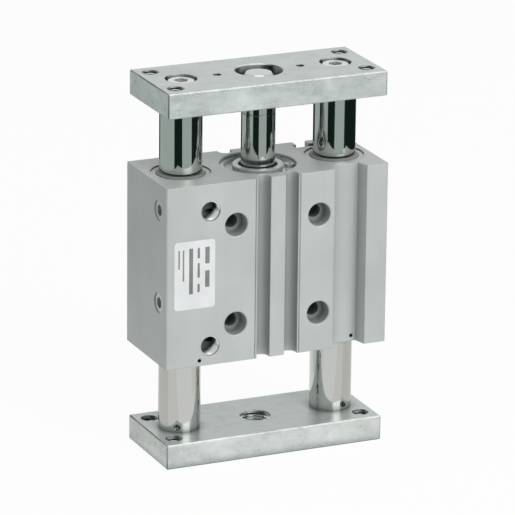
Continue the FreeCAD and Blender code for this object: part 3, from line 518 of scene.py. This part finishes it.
def mouths(mount, node):
    """Where each hole of a mount opens, on the carrying node's face, and its axis."""
    axis = Vector(mount["axis"])
    low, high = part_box(node)
    along = max(range(3), key=lambda i: abs(axis[i]))
    across = [i for i in range(3) if i != along]
    centre = Vector(mount["pos_m"])
    centre[along] = high[along] if axis[along] > 0 else low[along]
    spacing = [mount["dims"].get("spacing_" + k + "_mm", 0) * MM for k in "xy"]
    places = []
    for sx in (-1, 1) if spacing[0] else (0,):
        for sy in (-1, 1) if spacing[1] else (0,):
            place = centre.copy()
            place[across[0]] += sx * spacing[0] / 2
            place[across[1]] += sy * spacing[1] / 2
            places.append(place)
    return places, axis


def thread_mesh(name, radius, pitch, turns):
    """Closed sleeve about +Z, whose inner wall is a helical ridge of whole turns."""
    mesh = bmesh.new()
    length = turns * pitch
    outer_r = radius - THREAD_GAP
    crest_r = outer_r - THREAD_HEIGHT * pitch
    root_r = outer_r - THREAD_SKIN
    rows = 2 * (turns + 1)
    grid = []
    for row in range(rows + 1):
        ridge_r = crest_r if row % 2 else root_r
        ring = []
        for step in range(THREAD_STEPS):
            z = (row / 2 - 1 + step / THREAD_STEPS) * pitch
            ring.append(ring_vertex(mesh, ridge_r, min(max(z, 0), length), step))
        grid.append(ring)
    bottom = [ring_vertex(mesh, outer_r, 0, step) for step in range(THREAD_STEPS)]
    top = [ring_vertex(mesh, outer_r, length, step) for step in range(THREAD_STEPS)]
    for step in range(THREAD_STEPS):
        after = (step + 1) % THREAD_STEPS
        lift = 0 if after else 2
        for row in range(rows - lift):
            here, above = grid[row][step], grid[row + 1][step]
            next_above, beside = grid[row + lift + 1][after], grid[row + lift][after]
            mesh.faces.new((here, above, next_above, beside))
        mesh.faces.new((bottom[step], bottom[after], top[after], top[step]))
        mesh.faces.new((grid[0][step], grid[0][after], bottom[after], bottom[step]))
        mesh.faces.new((grid[rows][step], grid[rows][after], top[after], top[step]))
    last = THREAD_STEPS - 1
    lower, middle = grid[rows - 2][last], grid[rows - 1][last]
    mesh.faces.new((lower, middle, grid[rows][last], grid[rows][0]))
    bmesh.ops.remove_doubles(mesh, verts=mesh.verts, dist=WELD)
    return finished(mesh, name)


def finished(mesh, name):
    """Turns an edited mesh's faces outwards and stores it."""
    bmesh.ops.recalc_face_normals(mesh, faces=mesh.faces)
    made = bpy.data.meshes.new(name)
    mesh.to_mesh(made)
    mesh.free()
    return made


def ring_vertex(mesh, radius, z, step):
    angle = math.tau * step / THREAD_STEPS
    return mesh.verts.new((radius * math.cos(angle), radius * math.sin(angle), z))


def cut_threads():
    """Ridges for every tapped hole that is a mount."""
    slots = {"front_plate": "plates", "rear_plate": "plates", "housing": "anodised_housing"}
    cut = {
        "plates": cut_metal("cut_steel", CUT_STEEL),
        "anodised_housing": cut_metal("cut_aluminium", CUT_ALUMINIUM),
    }
    for name, (node, body, pitch, depth) in THREADS.items():
        mount = MOUNTS[name]
        dims = mount["dims"]
        radius = (dims.get("r_mm") or dims.get("hole_r_mm")) * MM
        places, axis = mouths(mount, node)
        for number, place in enumerate(places, 1):
            turns = math.floor((depth - 2 * THREAD_MARGIN) / pitch)
            mesh = thread_mesh(name, radius, pitch, turns)
            turn = axis.to_track_quat("Z", "Y").to_matrix().to_4x4()
            start = place - axis * (THREAD_MARGIN + turns * pitch)
            mesh.transform(Matrix.Translation(start) @ turn)
            slot = slots[node]
            new_piece(f"{name}_{number}", mesh, cut[slot], body)


def rounded_outline(width, height, radius, steps):
    """Corner-rounded rectangle about the origin, as 2-D points."""
    points = []
    for quarter, (sx, sy) in enumerate(((1, 1), (-1, 1), (-1, -1), (1, -1))):
        centre = Vector((sx * (width / 2 - radius), sy * (height / 2 - radius)))
        for step in range(steps + 1):
            angle = math.radians(90 * (quarter + step / steps))
            points.append(centre + radius * Vector((math.cos(angle), math.sin(angle))))
    return points


def sheet_on_front(name, points, centre, back_y, thickness):
    """Thin closed sheet on the front face, from points across and up."""
    mesh = bmesh.new()
    layers = []
    for y in (back_y, back_y - thickness):
        layers.append([mesh.verts.new((centre.x + p.x, y, centre.y + p.y)) for p in points])
    mesh.faces.new(layers[0])
    mesh.faces.new(reversed(layers[1]))
    for i in range(len(points)):
        after = (i + 1) % len(points)
        mesh.faces.new((layers[0][after], layers[0][i], layers[1][i], layers[1][after]))
    return finished(mesh, name)


def label():
    """Rounded plate with plain grey bars in place of any print."""
    low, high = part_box("housing")
    left = low.x + LABEL_FROM_LEFT
    top = high.z - LABEL_FROM_TOP
    centre = Vector((left + LABEL_SIZE.x / 2, top - LABEL_SIZE.y / 2))
    film = moulded("label_film", LABEL_FILM, (0.3, 0.4), LABEL_GRAIN)
    grey = moulded("label_grey", LABEL_GREY, (0.4, 0.5), LABEL_GRAIN)
    outline = rounded_outline(*LABEL_SIZE, LABEL_CORNER_R, LABEL_CORNER_STEPS)
    mesh = sheet_on_front("label", outline, centre, low.y, LABEL_THICKNESS)
    new_piece("label", mesh, film, "housing")
    face_y = low.y - LABEL_THICKNESS
    for number, (across, down, width, length) in enumerate(BARS, 1):
        middle = Vector((left + (across + width / 2) * MM, top - (down + length / 2) * MM))
        outline = rounded_outline(width * MM, length * MM, BAR_CORNER_R, BAR_CORNER_STEPS)
        mesh = sheet_on_front("bar", outline, middle, face_y, BAR_THICKNESS)
        new_piece(f"label_bar_{number}", mesh, grey, "housing")


# -------------------------------------------------------------------- stage

def seen_white(tree, lit, white, share):
    """White by a share to the camera, in reflections and through glass, and lit to all else."""
    rays = add(tree, "ShaderNodeLightPath")
    glossy, passing = rays.outputs["Is Glossy Ray"], rays.outputs["Is Transmission Ray"]
    seen = math_node(tree, "MAXIMUM", glossy, passing)
    seen = math_node(tree, "MAXIMUM", seen, rays.outputs["Is Camera Ray"])
    mix = add(tree, "ShaderNodeMixShader")
    tree.links.new(math_node(tree, "MULTIPLY", seen, share), mix.inputs["Fac"])
    tree.links.new(lit, mix.inputs[1])
    tree.links.new(white, mix.inputs[2])
    return mix.outputs["Shader"]


def stand_under(made):
    """Keeps a stage object under the rear plate, on which the cylinder stands, at every pose."""
    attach(made, "slider")


def floor():
    """Plain pale sheet that keeps the object's shadow."""
    mesh = bpy.data.meshes.new("floor")
    half = FLOOR_SIZE / 2
    corners = [(-half, -half, 0), (half, -half, 0), (half, half, 0), (-half, half, 0)]
    mesh.from_pydata(corners, [], [(0, 1, 2, 3)])
    made = placed("floor", mesh)
    paper, tree, surface = material("paper", metallic=0.0, roughness=0.9, specular=0.1)
    cloud = noise(tree, FLOOR_CLOUD, detail=2)
    colour = blend_colours(tree, cloud, FLOOR_COLOUR, FLOOR_COLOUR_2)
    tree.links.new(colour, surface.inputs["Base Color"])
    white = add(tree, "ShaderNodeEmission")
    lit, shown = surface.outputs["BSDF"], white.outputs["Emission"]
    seen = seen_white(tree, lit, shown, FLOOR_WHITENESS)
    tree.links.new(seen, tree.nodes["Material Output"].inputs["Surface"])
    mesh.materials.append(paper)
    stand_under(made)


def reflector(name, start, end, near, far, colour):
    """Bright or dark sheet round the object, seen only in reflections, never directly."""
    count = round((end - start) / REFLECTOR_STEP)
    points = []
    for step in range(count + 1):
        angle = math.radians(start + (end - start) * step / count)
        for radius, height in (near, far):
            points.append((radius * math.sin(angle), -radius * math.cos(angle), height))
    faces = [(2 * i, 2 * i + 1, 2 * i + 3, 2 * i + 2) for i in range(count)]
    mesh = bpy.data.meshes.new(name)
    mesh.from_pydata(points, [], faces)
    made = placed(name, mesh)
    glow = bpy.data.materials.new(name)
    glow.use_nodes = True
    tree = glow.node_tree
    light = add(tree, "ShaderNodeEmission")
    light.inputs["Color"].default_value = (*colour, 1)
    tree.links.new(light.outputs["Emission"], tree.nodes["Material Output"].inputs["Surface"])
    mesh.materials.append(glow)
    for kind in ("camera", "diffuse", "transmission", "shadow"):
        setattr(made, "visible_" + kind, False)
    stand_under(made)


def world():
    """Even room light, behind which the camera sees white."""
    made = bpy.data.worlds.new("studio")
    bpy.context.scene.world = made
    made.use_nodes = True
    tree = made.node_tree
    tree.nodes.clear()
    room = add(tree, "ShaderNodeBackground")
    room.inputs["Color"].default_value = WHITE
    room.inputs["Strength"].default_value = ROOM_LIGHT
    white = add(tree, "ShaderNodeBackground")
    white.inputs["Color"].default_value = WHITE
    out = add(tree, "ShaderNodeOutputWorld")
    seen = seen_white(tree, room.outputs["Background"], white.outputs["Background"], 1)
    tree.links.new(seen, out.inputs["Surface"])


def lamp(name, azimuth, elevation, distance, size, power):
    """Soft area light, aimed at the object's middle."""
    light = bpy.data.lights.new(name, "AREA")
    light.shape = "RECTANGLE"
    light.size, light.size_y = size
    light.energy = power
    made = placed(name, light)
    a, e = math.radians(azimuth), math.radians(elevation)
    back = Vector((math.sin(a) * math.cos(e), -math.cos(a) * math.cos(e), math.sin(e)))
    low, high = cad_box
    made.location = (low + high) / 2 + back * distance
    made.rotation_mode = "QUATERNION"
    made.rotation_quaternion = (-back).to_track_quat("-Z", "Y")


def camera():
    lens = bpy.data.cameras.new("camera")
    lens.lens = CAMERA_LENS
    lens.sensor_width = SENSOR_WIDTH
    made = placed("camera", lens)
    made.location = CAMERA_PLACE
    made.rotation_mode = "QUATERNION"
    level = CAMERA_FORWARD.to_track_quat("-Z", "Y")
    roll = Matrix.Rotation(CAMERA_ROLL, 3, "Z").to_quaternion()
    made.rotation_quaternion = level @ roll
    bpy.context.scene.camera = made


# --------------------------------------------------------------------- make

paint_nodes()
cut_threads()
label()
floor()
world()
camera()
for lamp_name, setting in LAMPS.items():
    lamp(lamp_name, *setting)
for reflector_name, setting in REFLECTORS.items():
    reflector(reflector_name, *setting)

bpy.context.scene.view_settings.view_transform = "Standard"
